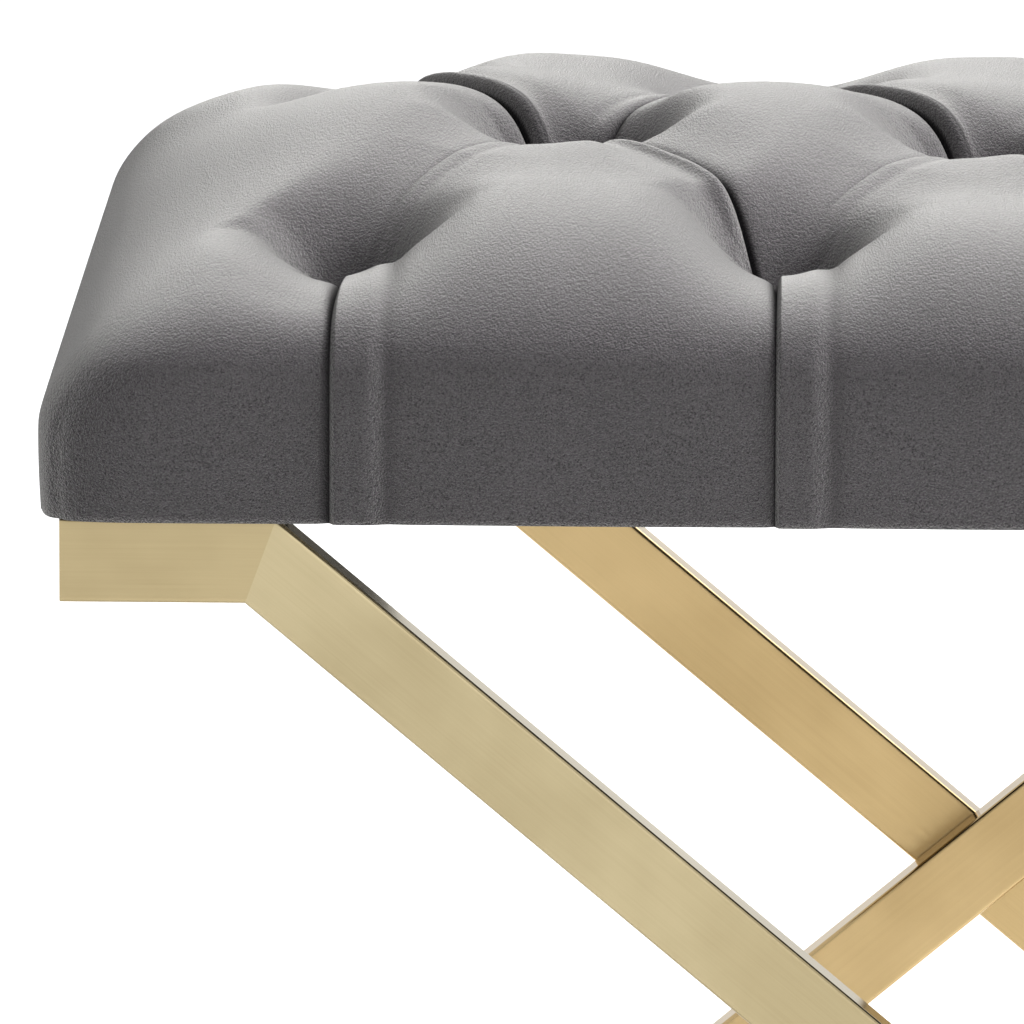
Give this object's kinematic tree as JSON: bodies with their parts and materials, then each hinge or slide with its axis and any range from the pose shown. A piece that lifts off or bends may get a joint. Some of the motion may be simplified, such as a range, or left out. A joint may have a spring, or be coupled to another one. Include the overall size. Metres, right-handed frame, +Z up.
{
  "type": "upholstered bench",
  "caption": "Small bench with a deep-buttoned velvet seat on a brass-finished frame of mitred flat tube, crossed in an X on each long side.",
  "frame": {"origin": "on the floor, at the middle of the bench's footprint", "axes": "+X along the length, +Y from front to back, +Z up"},
  "size_m": [0.556, 0.438, 0.475],
  "materials": {
    "gold_tube": "brushed along each tube, lacquered, polished edges",
    "velvet": "short-pile velvet with a soft sheen",
    "foam": "open-cell foam",
    "plywood": "raw plywood",
    "twine": "waxed twine",
    "dust_cloth": "thin black non-woven cloth",
    "glide_plastic": "moulded black nylon",
    "zinc_steel": "zinc plated"
  },
  "bodies": {
    "root": {"bolt_washers": "zinc_steel", "dust_cover": "dust_cloth", "floor_glides": "glide_plastic", "front_inner_diagonal": "gold_tube", "front_inner_foot_rail": "gold_tube", "front_inner_top_rail": "gold_tube", "front_outer_diagonal": "gold_tube", "front_outer_foot_rail": "gold_tube", "front_outer_top_rail": "gold_tube", "left_cross_bar": "gold_tube", "rail_end_plates": "gold_tube", "rear_inner_diagonal": "gold_tube", "rear_inner_foot_rail": "gold_tube", "rear_inner_top_rail": "gold_tube", "rear_outer_diagonal": "gold_tube", "rear_outer_foot_rail": "gold_tube", "rear_outer_top_rail": "gold_tube", "right_cross_bar": "gold_tube", "seat_board": "plywood", "seat_bolts": "zinc_steel", "seat_cover": "velvet", "seat_foam": "foam", "t_nuts": "zinc_steel", "tuft_buttons": "velvet", "tufting_twines": "twine"}
  },
  "joints": []
}
